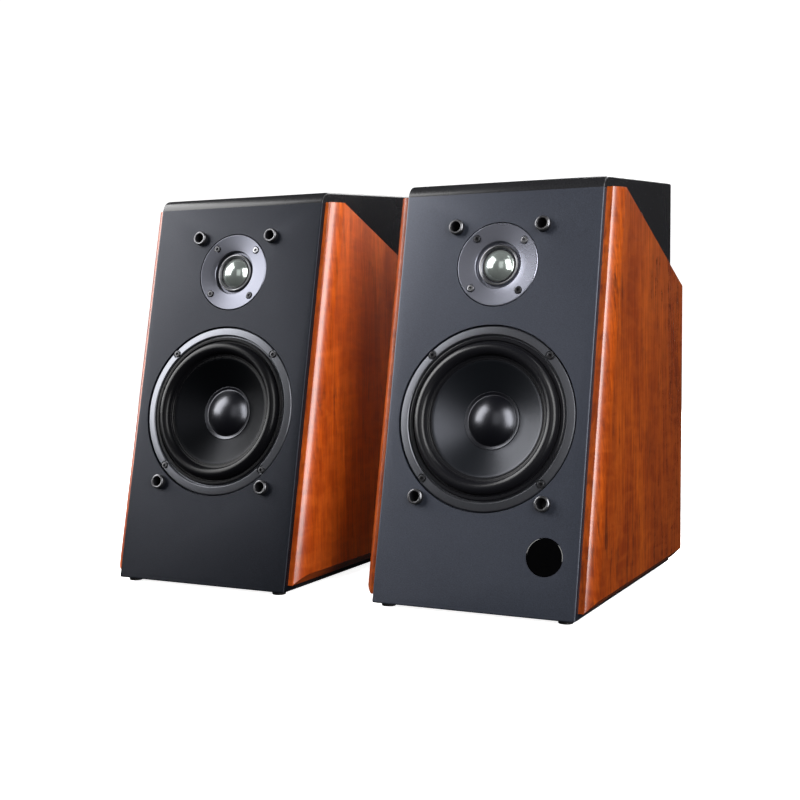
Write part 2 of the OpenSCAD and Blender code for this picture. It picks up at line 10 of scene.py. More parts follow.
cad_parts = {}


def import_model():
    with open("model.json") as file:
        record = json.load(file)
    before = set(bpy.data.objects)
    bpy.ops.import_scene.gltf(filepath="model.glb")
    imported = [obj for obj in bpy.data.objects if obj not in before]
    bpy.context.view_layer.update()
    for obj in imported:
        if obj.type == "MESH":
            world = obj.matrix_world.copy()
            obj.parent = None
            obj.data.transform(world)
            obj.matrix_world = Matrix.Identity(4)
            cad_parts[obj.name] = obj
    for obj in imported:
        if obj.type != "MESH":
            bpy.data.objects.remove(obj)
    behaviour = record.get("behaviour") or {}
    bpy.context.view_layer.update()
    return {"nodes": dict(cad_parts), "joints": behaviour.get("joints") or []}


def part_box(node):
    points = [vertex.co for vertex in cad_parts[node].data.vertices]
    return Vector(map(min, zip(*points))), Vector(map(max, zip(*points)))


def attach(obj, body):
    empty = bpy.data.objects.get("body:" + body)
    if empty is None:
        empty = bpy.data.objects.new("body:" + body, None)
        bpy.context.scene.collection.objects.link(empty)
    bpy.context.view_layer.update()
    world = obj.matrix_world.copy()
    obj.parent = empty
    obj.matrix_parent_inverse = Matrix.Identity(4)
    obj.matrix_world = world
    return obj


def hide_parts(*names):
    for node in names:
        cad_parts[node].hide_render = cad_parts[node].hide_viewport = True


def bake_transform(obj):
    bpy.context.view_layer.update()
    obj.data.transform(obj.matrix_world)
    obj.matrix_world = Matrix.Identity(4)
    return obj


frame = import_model()
MM = 0.001
X = Vector((1, 0, 0))


# ---------------------------------------------------------------- frames of reference

def joint_axis(name):
    return Vector(next(j for j in frame["joints"] if j["name"] == name)["axis"]).normalized()


def matrix_of(ex, ey, ez, origin):
    m = Matrix((ex, ey, ez)).transposed().to_4x4()
    m.translation = origin
    return m


def front_frame(side):
    """x to the listener's right, y up the slope of the front, z out of it; origin at the
    middle of the front's bottom edge."""
    low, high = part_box(side + "_front_board")
    out = joint_axis(side + "_bass_stroke")
    return matrix_of(X, out.cross(X), out, Vector(((low.x + high.x) / 2, low.y, low.z)))


def lean(m):
    """Angle between the front and the vertical."""
    up = m.to_3x3().col[1]
    return atan2(up.y, up.z)


def span(node, m):
    """Lowest and highest corner of a CAD node in a local frame."""
    inverse = m.inverted()
    points = [inverse @ v.co for v in frame["nodes"][node].data.vertices]
    return (Vector([min(p[i] for p in points) for i in range(3)]),
            Vector([max(p[i] for p in points) for i in range(3)]))


def place(node, m):
    """Local frame at the middle of a CAD node, at the level of the frame's own plane."""
    low, high = span(node, m)
    return m @ Matrix.Translation(((low.x + high.x) / 2, (low.y + high.y) / 2, 0))


# ---------------------------------------------------------------- mesh tools

def rounded(points, closed=False, steps=5):
    """(a, b) or (a, b, radius) corners in millimetres, as metres, with the corners rounded."""
    out, n = [], len(points)
    for i, p in enumerate(points):
        here = Vector(p[:2])
        if len(p) < 3 or (not closed and i in (0, n - 1)):
            out.append(here * MM)
            continue
        before = Vector(points[i - 1][:2]) - here
        after = Vector(points[(i + 1) % n][:2]) - here
        reach = p[2] / tan(before.angle(after) / 2)
        a = here + before.normalized() * min(reach, before.length * 0.49)
        c = here + after.normalized() * min(reach, after.length * 0.49)
        for k in range(steps + 1):
            t = k / steps
            out.append((a * (1 - t) ** 2 + here * 2 * t * (1 - t) + c * t * t) * MM)
    return out


def mesh_from(bm, name, sharp=30):
    bmesh.ops.remove_doubles(bm, verts=bm.verts, dist=1e-7)
    bmesh.ops.recalc_face_normals(bm, faces=bm.faces)
    data = bpy.data.meshes.new(name)
    bm.to_mesh(data)
    bm.free()
    for p in data.polygons:
        p.use_smooth = True
    data.set_sharp_from_angle(angle=radians(sharp))
    return data


def lathe(m, profile, seg=128, closed=True, sharp=30):
    """Solid of revolution round the local z, from (radius, level) points in metres. An open
    profile starts and ends on the axis, or is a bare sheet."""
    bm = bmesh.new()
    rings = []
    for r, z in profile:
        if r < 1e-7:
            rings.append([bm.verts.new(m @ Vector((0, 0, z)))])
        else:
            rings.append([bm.verts.new(m @ Vector((r * cos(2 * pi * k / seg),
                                                   r * sin(2 * pi * k / seg), z)))
                          for k in range(seg)])
    pairs = list(zip(rings, rings[1:])) + ([(rings[-1], rings[0])] if closed else [])
    for a, b in pairs:
        if len(a) == 1 and len(b) == 1:
            continue
        for k in range(seg):
            n = (k + 1) % seg
            if len(a) == 1:
                bm.faces.new((a[0], b[k], b[n]))
            elif len(b) == 1:
                bm.faces.new((a[k], a[n], b[0]))
            else:
                bm.faces.new((a[k], a[n], b[n], b[k]))
    return mesh_from(bm, "turned", sharp)


def prism(m, outline, low, high):
    """Outline of (x, y) points in metres, pulled along the local z."""
    bm = bmesh.new()
    a = [bm.verts.new(m @ Vector((x, y, low))) for x, y in outline]
    b = [bm.verts.new(m @ Vector((x, y, high))) for x, y in outline]
    bm.faces.new(a)
    bm.faces.new(b)
    for i in range(len(a)):
        j = (i + 1) % len(a)
        bm.faces.new((a[i], a[j], b[j], b[i]))
    return mesh_from(bm, "prism")


def soft_prism(m, outline, low, high, r, steps):
    """A prism whose two end faces meet its sides in a rounding of radius r."""
    n = len(outline)
    points = [Vector(p) for p in outline]
    area = sum(points[i].cross(points[(i + 1) % n]) for i in range(n))
    turn = 1 if area > 0 else -1
    inward = []
    for i in range(n):
        a = (points[i] - points[i - 1]).normalized()
        b = (points[(i + 1) % n] - points[i]).normalized()
        normal = (Vector((-a.y, a.x)) + Vector((-b.y, b.x))) * turn
        normal.normalize()
        inward.append(normal / max(0.3, normal.dot(Vector((-b.y, b.x)) * turn)))
    levels = [(low + r - r * cos(t), r - r * sin(t))
              for t in (pi / 2 * k / steps for k in range(steps + 1))]
    levels += [(high - r + r * sin(t), r - r * cos(t))
               for t in (pi / 2 * k / steps for k in range(steps + 1))]
    bm = bmesh.new()
    rings = [[bm.verts.new(m @ Vector((*(p + q * d), z))) for p, q in zip(points, inward)]
             for z, d in levels]
    bm.faces.new(rings[0])
    bm.faces.new(rings[-1])
    for a, b in zip(rings, rings[1:]):
        for i in range(n):
            j = (i + 1) % n
            bm.faces.new((a[i], a[j], b[j], b[i]))
    return mesh_from(bm, "prism")


def ring_points(r, n):
    """Corners of a regular polygon of n sides in a circle of radius r."""
    return [(r * cos(2 * pi * k / n), r * sin(2 * pi * k / n)) for k in range(n)]


def merge(meshes):
    """One mesh from several, which are used up."""
    bm = bmesh.new()
    for data in meshes:
        bm.from_mesh(data)
        bpy.data.meshes.remove(data)
    data = bpy.data.meshes.new("merged")
    bm.to_mesh(data)
    bm.free()
    return data


def carve(data, cutters, operation="DIFFERENCE", sharp=30):
    """Boolean of one mesh with several others, which may not touch each other."""
    body = bpy.data.objects.new("carved", data)
    tool = bpy.data.objects.new("cutter", merge(cutters))
    for o in (body, tool):
        bpy.context.scene.collection.objects.link(o)
    cut = body.modifiers.new("cut", "BOOLEAN")
    cut.operation, cut.solver, cut.object = operation, "MANIFOLD", tool
    bpy.context.view_layer.update()
    made = bpy.data.meshes.new_from_object(
        body.evaluated_get(bpy.context.evaluated_depsgraph_get()))
    for o in (body, tool):
        old = o.data
        bpy.data.objects.remove(o)
        bpy.data.meshes.remove(old)
    for p in made.polygons:
        p.use_smooth = True
    made.set_sharp_from_angle(angle=radians(sharp))
    return made


def piece(name, data, material, body, slot, *nodes):
    """Puts a mesh into the scene as a named piece of the object."""
    o = bpy.data.objects.new(name, data)
    data.name = name
    bpy.context.scene.collection.objects.link(o)
    index = [face.material_index for face in data.polygons]
    data.materials.clear()
    for mat in material if isinstance(material, list) else [material]:
        data.materials.append(mat)
    data.polygons.foreach_set("material_index", index)
    if nodes:
        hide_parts(*nodes)
    if body:
        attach(o, body)
    return o


# ---------------------------------------------------------------- materials

class Surface:
    """A Principled material with short ways to add noise to it."""

    def __init__(self, name, colour, roughness, **sockets):
        self.made = bpy.data.materials.new(name)
        self.made.use_nodes = True
        self.made.diffuse_color = (*colour, 1)
        self.tree = self.made.node_tree
        self.shader = self.tree.nodes["Principled BSDF"]
        self.put("Base Color", (*colour, 1))
        self.put("Roughness", roughness)
        for key, value in sockets.items():
            self.put(key.replace("_", " "), value)
        self.place = self.tree.nodes.new("ShaderNodeTexCoord").outputs["Object"]
        self.height = None

    def put(self, socket, value):
        self.shader.inputs[socket].default_value = value

    def node(self, kind, inputs=None, **settings):
        made = self.tree.nodes.new("ShaderNode" + kind)
        for key, value in settings.items():
            setattr(made, key, value)
        for key, value in (inputs or {}).items():
            if isinstance(value, bpy.types.NodeSocket):
                self.tree.links.new(value, made.inputs[key])
            else:
                made.inputs[key].default_value = value
        return made

    def noise(self, scale, detail=3, roughness=0.5, stretch=(1, 1, 1), distortion=0):
        spot = self.node("Mapping", {"Vector": self.place, "Scale": stretch})
        return self.node("TexNoise", {"Vector": spot.outputs[0], "Scale": scale,
                                      "Detail": detail, "Roughness": roughness,
                                      "Distortion": distortion}).outputs[0]

    def ramp(self, factor, *stops):
        made = self.node("ValToRGB", {"Fac": factor})
        elements = made.color_ramp.elements
        while len(elements) < len(stops):
            elements.new(0.5)
        for element, (at, colour) in zip(elements, stops):
            element.position = at
            element.color = (*colour, 1) if isinstance(colour, tuple) else (colour,) * 3 + (1,)
        return made.outputs[0]

    def mix(self, factor, a, b):
        made = self.node("Mix", {"Factor": factor}, data_type="RGBA")
        for key, value in ((6, a), (7, b)):     # the node's two colour inputs
            if isinstance(value, bpy.types.NodeSocket):
                self.tree.links.new(value, made.inputs[key])
            else:
                made.inputs[key].default_value = (*value, 1)
        return made.outputs[2]                  # its colour output

    def colour(self, socket):
        self.tree.links.new(socket, self.shader.inputs["Base Color"])

    def rough(self, factor, low, high):
        made = self.node("MapRange", {"Value": factor, "To Min": low, "To Max": high})
        self.tree.links.new(made.outputs[0], self.shader.inputs["Roughness"])

    def bump(self, height, distance, strength=1.0):
        inputs = {"Height": height, "Distance": distance, "Strength": strength}
        if self.height:
            inputs["Normal"] = self.height
        self.height = self.node("Bump", inputs).outputs[0]
        self.tree.links.new(self.height, self.shader.inputs["Normal"])


def tinted(colour, factor):
    return tuple(c * factor for c in colour)


def grained(name, colour, roughness, grain=900, depth=0.00006, contrast=0.35, **sockets):
    """Moulded, painted or cast surface: fine grain, and slow changes of tone and gloss."""
    s = Surface(name, colour, roughness, **sockets)
    fine = s.noise(grain, 2, 0.6)
    slow = s.noise(9, 3)
    tone = s.ramp(fine, (0.3, tinted(colour, 1 - contrast)), (0.7, tinted(colour, 1 + contrast)))
    s.colour(s.mix(s.ramp(slow, (0.35, 0.0), (0.7, 0.3)), tone, tinted(colour, 1.25)))
    s.rough(slow, roughness - 0.05, roughness + 0.06)
    if depth:
        s.bump(fine, depth)
    return s.made


def painted_light_per_side(left, name, colour, roughness, *rest, **sockets):
    """The same surface for both speakers, with the left one's colour and sheen scaled by left:
    painted shade where that factor is below one, painted light where it is above, as the left
    speaker stands nearer the main light and turned more into its reflection."""
    level = sockets.pop("Specular_IOR_Level", 0.5)
    return {"right": grained(name, colour, roughness, *rest, Specular_IOR_Level=level, **sockets),
            "left": grained(name + "_left", tinted(colour, left), roughness, *rest,
                            Specular_IOR_Level=level * left, **sockets)}


def turned_metal(name, colour, roughness, metallic=1.0):
    """Metal with faint handling marks and fine wear."""
    s = Surface(name, colour, roughness, Metallic=metallic)
    fine = s.noise(4000, 3, 0.6)
    worn = s.noise(160, 4, 0.7)
    s.colour(s.mix(s.ramp(worn, (0.45, 0.0), (0.8, 0.5)), colour, tinted(colour, 0.7)))
    s.rough(fine, max(0.04, roughness - 0.04), roughness + 0.05)
    return s.made


def cherry(name, gain, haze):
    """Semi-gloss red cherry veneer with upright grain, dark flecks and a lacquer coat."""
    s = Surface(name, (0.24 * gain, 0.04 * gain, 0.005 * gain), 0.45)
    s.put("Specular IOR Level", 0.12)
    s.put("Coat Weight", 1.0)
    s.put("Coat Roughness", haze)
    broad = s.noise(17, 5, 0.62, (1, 1, 0.3), 0.8)
    line = s.noise(300, 6, 0.7, (1, 1, 0.05), 0.5)
    pore = s.noise(1300, 3, 0.6, (1, 1, 0.06))
    fleck = s.noise(170, 4, 0.6, (1, 1, 0.14), 0.9)
    where = s.noise(14, 2, 0.5)
    curl = s.noise(120, 3, 0.5, (0.35, 0.35, 1.0), 0.8)

    def tone(r, g, b):
        return r * gain, g * gain, b * gain

    base = s.ramp(broad, (0.3, tone(0.15, 0.019, 0.0015)), (0.5, tone(0.26, 0.041, 0.002)),
                  (0.7, tone(0.40, 0.076, 0.004)))
    base = s.mix(s.ramp(line, (0.42, 0.0), (0.62, 0.75)), base, tone(0.10, 0.012, 0.001))
    dark = s.node("Math", {0: s.ramp(fleck, (0.56, 0.0), (0.64, 0.9)),
                           1: s.ramp(where, (0.44, 0.1), (0.62, 0.95))}, operation="MULTIPLY")
    base = s.mix(dark.outputs[0], base, tone(0.05, 0.008, 0.002))
    base = s.mix(s.ramp(pore, (0.48, 0.0), (0.7, 0.4)), base, tone(0.07, 0.009, 0.001))
    base = s.mix(s.ramp(curl, (0.4, 0.0), (0.75, 0.18)), base, tone(0.5, 0.11, 0.012))
    s.colour(base)
    s.rough(line, 0.38, 0.5)
    s.bump(pore, 0.00002, 0.4)
    s.bump(line, 0.00003, 0.4)
    return s.made


# painted shade: the left speaker's front paint is a darker copy with less sheen (factor 0.36)
paint = painted_light_per_side(0.36, "front_paint", (0.0095, 0.0112, 0.0160), 0.41, 1100, 0.00009, 0.45,
                 Specular_Tint=(0.80, 0.84, 1.0, 1))
shell_paint = grained("shell_paint", (0.009, 0.009, 0.010), 0.27, 1100, 0.000008, 0.3,
                      Specular_IOR_Level=0.25)
# painted light: the left speaker's veneer is a lighter copy (gain 1.6 against 1.08 on the right),
# standing in for side light that the right speaker blocks
wood = {"right": cherry("cherry_veneer", 1.08, 0.23),
        "left": cherry("cherry_veneer_lit_copy", 1.6, 0.28)}
plastic = grained("black_plastic", (0.020, 0.020, 0.022), 0.4, 1600, 0.00004, 0.3)
cup_plastic = grained("socket_plastic", (0.005, 0.005, 0.006), 0.35, 1600, 0.00003, 0.3)
# painted light: the left speaker's basket is a lighter copy with more sheen (factor 1.3)
basket = painted_light_per_side(1.3, "basket_satin", (0.062, 0.064, 0.072), 0.32, 2200, 0.000008, 0.2,
                  Metallic=0.8)
# painted shade: the left speaker's surround is a darker copy with less sheen (factor 0.5)
rubber = painted_light_per_side(0.5, "surround_rubber", (0.004, 0.004, 0.005), 0.27, 2600, 0.00002, 0.25,
                  Specular_IOR_Level=0.2)
foot_rubber = grained("foot_rubber", (0.012, 0.012, 0.013), 0.7, 2000, 0.00005, 0.4)
# painted shade: the left speaker's cone is a darker copy with less sheen (factor 0.25)
cone_skin = painted_light_per_side(0.25, "cone_skin", (0.003, 0.0035, 0.0045), 0.37, 1900, 0.00003, 0.18,
                     Specular_IOR_Level=0.3, Specular_Tint=(0.85, 0.88, 1.0, 1))
gloss = grained("dust_cap_gloss", (0.002, 0.002, 0.003), 0.30, 2400, 0, 0.2,
                Specular_IOR_Level=0.6, Specular_Tint=(0.88, 0.9, 1.0, 1))
# painted shade: the left speaker's treble plate is a darker copy with less sheen (factor 0.4)
plate_paint = painted_light_per_side(0.4, "treble_plate", (0.19, 0.195, 0.232), 0.28, 700, 0, 0.02,
                       Metallic=0.9)
trim_metal = turned_metal("trim_metal", (0.14, 0.14, 0.147), 0.3, 0.9)
chrome = turned_metal("dark_chrome", (0.10, 0.10, 0.105), 0.3, 0.9)
silver = turned_metal("silver_metal", (0.62, 0.62, 0.65), 0.28)
steel_black = turned_metal("blackened_steel", (0.04, 0.04, 0.043), 0.28, 0.8)
bright_screw = turned_metal("bright_screw", (0.22, 0.22, 0.23), 0.3)


def dome_material():
    """Thin smooth metal-coated film."""
    s = Surface("dome_film", (0.26, 0.30, 0.28), 0.18, Metallic=0.75)
    cloud = s.noise(90, 3, 0.5)
    s.colour(s.mix(cloud, (0.24, 0.28, 0.26), (0.36, 0.39, 0.37)))
    s.rough(cloud, 0.14, 0.22)
    return s.made


film = dome_material()
window_gloss = grained("window_gloss", (0.0006, 0.0006, 0.0007), 0.08, 300, 0.000003, 0.2,
                       Specular_IOR_Level=0.3)


# ---------------------------------------------------------------- cabinet

FRONT_LENGTH = 332          # up the slope, in millimetres, as are the other sizes below
NOSE_R = 12                 # rounding where the front meets the top
TOP_RISE = radians(4)       # of the top, towards the rear
REAR_R = 3                  # rounding where the top meets the back
HEEL_R = 1.5                # rounding of the lower rear edge
TOE_R = 1.0                 # rounding of the lower front edge
BOARD_T = 18                # front board
WALL_T = 12                 # bottom wall
EDGE_R = 1.5                # of the cabinet's side edges
NOSE_STEPS = 32
BORE_FACETS = 96            # round a wide bore
SMALL_BORE_FACETS = 48


def cabinet_outline(side):
    """Side outline of the cabinet in metres, as (y, z) from the front's bottom edge, with the
    cabinet's depth in millimetres."""
    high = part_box(side + "_cabinet_shell")[1]
    m = front_frame(side)
    tilt = lean(m)
    depth = (high.y - m.translation.y) / MM
    length, r, rise = FRONT_LENGTH, NOSE_R, TOP_RISE
    cy = length * sin(tilt) + r * cos(tilt)
    cz = length * cos(tilt) - r * sin(tilt)
    points = [(0, 0, TOE_R)]
    for i in range(NOSE_STEPS + 1):
        a = pi - tilt + (pi / 2 + rise - pi + tilt) * i / NOSE_STEPS
        points.append((cy + r * cos(a), cz + r * sin(a)))
    top = cz + r * cos(rise) + (depth - cy + r * sin(rise)) * tan(rise)
    points += [(depth, top, REAR_R), (depth, 0, HEEL_R)]
    return rounded(points, True), depth


def cabinet(side, body, has_window):
    """Hollow shell, and the front board with the bores for all that sits in it."""
    m = front_frame(side)
    low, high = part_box(side + "_cabinet_shell")
    half = (high.x - low.x) / 2
    outline, depth = cabinet_outline(side)
    # local frame with x along world y, y along world z, z along world x
    flat = matrix_of(Vector((0, 1, 0)), Vector((0, 0, 1)), X, m.translation)
    outer = soft_prism(flat, outline, -half, half, EDGE_R * MM, 5)

    def slab(out, behind, top, under, wide):
        """Block along the front: reach out of it, behind it, to its top, under it, past its
        sides."""
        corners = [(-under, out), (top, out), (top, -behind), (-under, -behind)]
        return prism(m @ Matrix.Rotation(pi / 2, 4, "Y") @ Matrix.Rotation(pi / 2, 4, "Z"),
                     [(u * MM, z * MM) for u, z in corners], -half - wide * MM, half + wide * MM)

    joint = 0.02            # gap between board and shell
    board = carve(outer.copy(), [slab(9, BOARD_T, FRONT_LENGTH, 20, 5)], "INTERSECT")
    shell = carve(outer, [slab(10, BOARD_T + joint, FRONT_LENGTH + joint, 21, 6)])
    in_low, in_high = span(side + "_back_board", flat)
    top_front = in_high.y / MM - depth * 0.7 * tan(TOP_RISE)
    past = 3 * MM           # the cavity runs out at the rear, where the back board sits
    cavity = [(BOARD_T * 1.2 * MM, WALL_T * MM), (depth * 0.3 * MM, top_front * MM),
              (in_high.x + past, in_high.y + past * tan(TOP_RISE)),
              (in_high.x + past, WALL_T * MM)]
    shell = carve(shell, [prism(flat, cavity, in_low.z, in_high.z)])

    bass, treble = place(side + "_bass_screws", m), place(side + "_treble_screws", m)

    def bore(at, r, low, n=BORE_FACETS):
        return prism(at, ring_points(r * MM, n), low * MM, 9 * MM)

    # flange recesses, then through holes, then socket bores
    board = carve(board, [bore(bass, 74.3, -5), bore(treble, 34.5, -3)])
    board = carve(board, [bore(bass, 63, -30), bore(treble, 24, -30)])
    for at in sockets(side, m):
        board = carve(board, [bore(at, 4.9, -12, SMALL_BORE_FACETS)])
    if has_window:
        spot = place(side + "_window", m)
        board = carve(board, [bore(spot, 14.7, -3.1)])
        board = carve(board, [bore(spot, 6, -30, SMALL_BORE_FACETS)])
    piece(side + "_front_panel", board, paint[side], body, "front_grey", side + "_front_board")
    piece(side + "_cabinet", shell, shell_paint, body, "cabinet_black", side + "_cabinet_shell")


def sockets(side, m):
    """Local frames of the four grille sockets, from the corners of their CAD node."""
    inverse = m.inverted()
    points = [inverse @ v.co for v in frame["nodes"][side + "_grille_sockets"].data.vertices]
    middle = sum(p.y for p in points) / len(points)
    found = []
    for upper in (False, True):
        for right in (False, True):
            some = [p for p in points if (p.y > middle) == upper and (p.x > 0) == right]
            found.append(m @ Matrix.Translation((
                (min(p.x for p in some) + max(p.x for p in some)) / 2,
                (min(p.y for p in some) + max(p.y for p in some)) / 2, 0)))
    return found


# ---------------------------------------------------------------- wooden side panels

LIP_T = 4.8                 # panel thickness at its front edge, before the rounding
ROUND_DEPTH = 14            # how far back the rounding reaches
SETBACK = 5.5               # of the panel behind the front's bottom edge
FLAT_TOP = 12               # level stretch of the panel's top edge
REAR_TOP = 248.5            # height of the panel's rear edge above its bottom
UNDERCUT = 8                # chamfer along the panel's lower outer edge
PANEL_BEVEL = 0.4
ROUND_STEPS = 40


def wood_panel(side, which, body):
    """Panel cut from a blank whose front edge rounds into its outer face."""
    node = f"{side}_{which}_wood_panel"
    low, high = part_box(node)
    cab_low, cab_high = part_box(side + "_cabinet_shell")
    m = front_frame(side)
    outward = 1 if low.x > (cab_low.x + cab_high.x) / 2 else -1
    face = low.x if outward > 0 else high.x
    t = (high.x - low.x) / MM
    up = m.to_3x3().col[1]
    r = (ROUND_DEPTH ** 2 + (t - LIP_T) ** 2) / (2 * (t - LIP_T))
    start = -atan2(ROUND_DEPTH / r, sqrt(1 - (ROUND_DEPTH / r) ** 2))
    angles = [start * (1 - k / ROUND_STEPS) for k in range(ROUND_STEPS + 1)]
    plan = [(0, 0)] + [(t - r + r * cos(a), ROUND_DEPTH + r * sin(a)) for a in angles]
    plan += [(t, 330), (0, 330)]
    origin = Vector((face, m.translation.y + SETBACK * MM, m.translation.z))
    blank = matrix_of(X * outward, Vector((0, 1, 0)), up, origin)
    bm = bmesh.new()
    bm.from_mesh(prism(blank, [(x * MM, y * MM) for x, y in plan], -0.1, 0.5))

    def cut(point, normal):
        made = bmesh.ops.bisect_plane(bm, geom=bm.verts[:] + bm.edges[:] + bm.faces[:],
                                      plane_co=point, plane_no=normal, clear_outer=True,
                                      dist=1e-7)
        edges = [e for e in made["geom_cut"] if isinstance(e, bmesh.types.BMEdge)]
        bmesh.ops.contextual_create(bm, geom=edges)

    run = (high.z - m.translation.z) / MM * tan(lean(m))
    corner_y = m.translation.y + (SETBACK + run + FLAT_TOP) * MM
    rear_top = low.z + REAR_TOP * MM
    slope = atan2(high.z - rear_top, high.y - corner_y)
    outer = face + outward * t * MM
    cut(Vector((0, 0, low.z)), Vector((0, 0, -1)))
    cut(Vector((0, 0, high.z)), Vector((0, 0, 1)))
    cut(Vector((0, high.y, 0)), Vector((0, 1, 0)))
    diagonal = Vector((0, sin(slope), cos(slope)))
    cut(Vector((0, corner_y, high.z)), diagonal)
    cut(Vector((outer - outward * UNDERCUT * MM, 0, low.z)),
        Vector((outward, 0, -1)).normalized())
    bm.normal_update()
    bmesh.ops.remove_doubles(bm, verts=bm.verts, dist=1e-6)
    edges = [e for e in bm.edges if len(e.link_faces) == 2 and e.calc_face_angle() > radians(14)]
    bmesh.ops.bevel(bm, geom=edges, offset=PANEL_BEVEL * MM, segments=4, profile=0.5,
                    affect="EDGES", clamp_overlap=True)
    piece(f"{side}_{which}_veneered_panel", mesh_from(bm, node, 25), wood[side], body,
          "cherry_veneer", node)


# ---------------------------------------------------------------- bass driver

def hex_recess(at, r, depth, top):
    return prism(at, ring_points(r * MM, 6), (top - depth) * MM, (top + 3) * MM)


def socket_screw(at, head_r, top, under, recess_r):
    head = lathe(at, rounded([(0, under), (head_r, under, 0.2), (head_r, top, 0.35), (0, top)]),
                 40, False)
    return carve(head, [hex_recess(at, recess_r, 1.3, top)], sharp=35)


def screw_pocket(at, r, depth, out):
    """Cutter that lets a screw head into a ring or plate."""
    return prism(at, ring_points(r * MM, 40), -depth * MM, out * MM)


def bulge(rim, height, base, steps=24):
    """Section of a spherical cap, from its middle to its rim, with the rim at the level of
    base."""
    ball = (rim ** 2 + height ** 2) / (2 * height)
    radii = [rim * k / steps for k in range(steps + 1)]
    return [(r, base + height - ball + sqrt(ball ** 2 - r ** 2)) for r in radii]


def around(at, r, turn=45):
    """Local frames of four screws on a circle."""
    return [at @ Matrix.Rotation(radians(turn + 90 * k), 4, "Z")
            @ Matrix.Translation((r * MM, 0, 0)) for k in range(4)]


CONE_IN, CONE_OUT = 13, 46  # radii of the cone's neck and of its flat rim


def cone(r):
    """Level of the cone's front face at radius r, with a shallow curve along the slope."""
    return (-2.2 - (CONE_OUT - r) * 0.53
            - 0.9 * sin(pi * (r - CONE_IN) / (CONE_OUT - CONE_IN)))


def bass_driver(side, body):
    m = place(side + "_bass_screws", front_frame(side))
    moving = side + "_bass_diaphragm"
    spots = around(m, 70.2)

    # basket: mounting ring, step for the surround, open legs down to the magnet
    profile = rounded([
        (60, -1.6), (64.7, -1.6, 0.2), (64.9, -2.6, 0.2), (65.9, -2.6, 0.2), (66.2, -0.5, 0.3),
        (66.9, 0, 0.3), (72.5, -0.7, 0.4), (73.2, -1.4, 0.3), (73.4, -5), (62.4, -5), (62.4, -14),
        (42.5, -46.5), (16, -46.5), (16, -44.5), (40, -44.5), (48.9, -33), (36, -33),
        (36, -31), (50.2, -31), (60, -14)], True)
    ring = lathe(m, profile, 192)
    window_plan = [(49.6, -17), (79.6, -17), (79.6, 17), (49.6, 17)]
    windows = [prism(m @ Matrix.Rotation(radians(60 * k), 4, "Z"),
                     [(x * MM, y * MM) for x, y in window_plan],
                     -29 * MM, -17 * MM) for k in range(6)]
    ring = carve(ring, windows)
    ring = carve(ring, [screw_pocket(s, 3.9, 1.5, 3) for s in spots])
    piece(side + "_bass_frame", ring, basket[side], body, "basket_grey", side + "_bass_basket")

    screws = merge([socket_screw(s, 2.7, 0.2, -1.5, 1.35) for s in spots])
    piece(side + "_bass_ring_screws", screws, steel_black, body, "black_screw",
          side + "_bass_screws")

    # surround: outer lip with a bead, half roll, inner lip glued on the cone
    r0, r1, t = 50.0, 60.2, 0.7
    mid, half = (r0 + r1) / 2, (r1 - r0) / 2
    outer = [(64.6, -1.55), (64.6, -0.5, 0.3), (64.0, -0.15, 0.3), (62.0, -0.15, 0.4),
             (61.5, -0.7, 0.2), (61.3, -1.3, 0.1), (60.4, -1.35, 0.1)]

    def arc(r):
        return [(mid + r * cos(pi * k / 24), -0.4 + r * sin(pi * k / 24)) for k in range(25)]

    loop = outer + arc(half) + [
        (49.6, -1.0, 0.3), (48.4, -1.2, 0.3), (48.1, -1.6, 0.2), (46.6, -1.7, 0.2),
        (46.4, -2.2), (50.7, -2.2)]
    loop += arc(half - t)[::-1] + [(59.5, -1.55)]
    data = lathe(m, rounded(loop, True), 192)
    roll = piece(side + "_rubber_surround", data, rubber[side], None, "surround_rubber",
                 side + "_bass_surround")
    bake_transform(roll)

    # cone with a flat rim, and the dust cap with its glued flange
    radii = [CONE_IN + (CONE_OUT - CONE_IN) * k / 20 for k in range(21)]
    loop = [(r, cone(r)) for r in radii] + [(46.3, -2.15, 0.4), (50.0, -2.2)]
    loop += [(50.0, -3.0), (CONE_OUT, -3.0)]
    loop += [(r, cone(r) - 0.8) for r in reversed(radii[1:])]
    loop += [(13.9, -22.6), (CONE_IN, -22.6)]
    piece(side + "_paper_cone", lathe(m, rounded(loop, True), 160), cone_skin[side], moving,
          "cone_paper", side + "_bass_cone")
    rim = 20.2
    base = -2.2 - (CONE_OUT - rim) * 0.53 + 0.6
    top = bulge(rim, 9.0, base)
    under = [(r, z - 0.7) for r, z in reversed(top[:-1])]
    loop = top + [(rim + 0.5, base - 0.1, 0.3), (23.2, cone(23.2) + 0.8, 0.3),
                  (23.2, cone(23.2) + 0.05)] + [(19.5, cone(19.5) + 0.05)] + under
    piece(side + "_dust_cap", lathe(m, rounded(loop), 128, False), gloss, moving,
          "dust_cap_gloss", side + "_bass_dust_cap")


# ---------------------------------------------------------------- treble driver

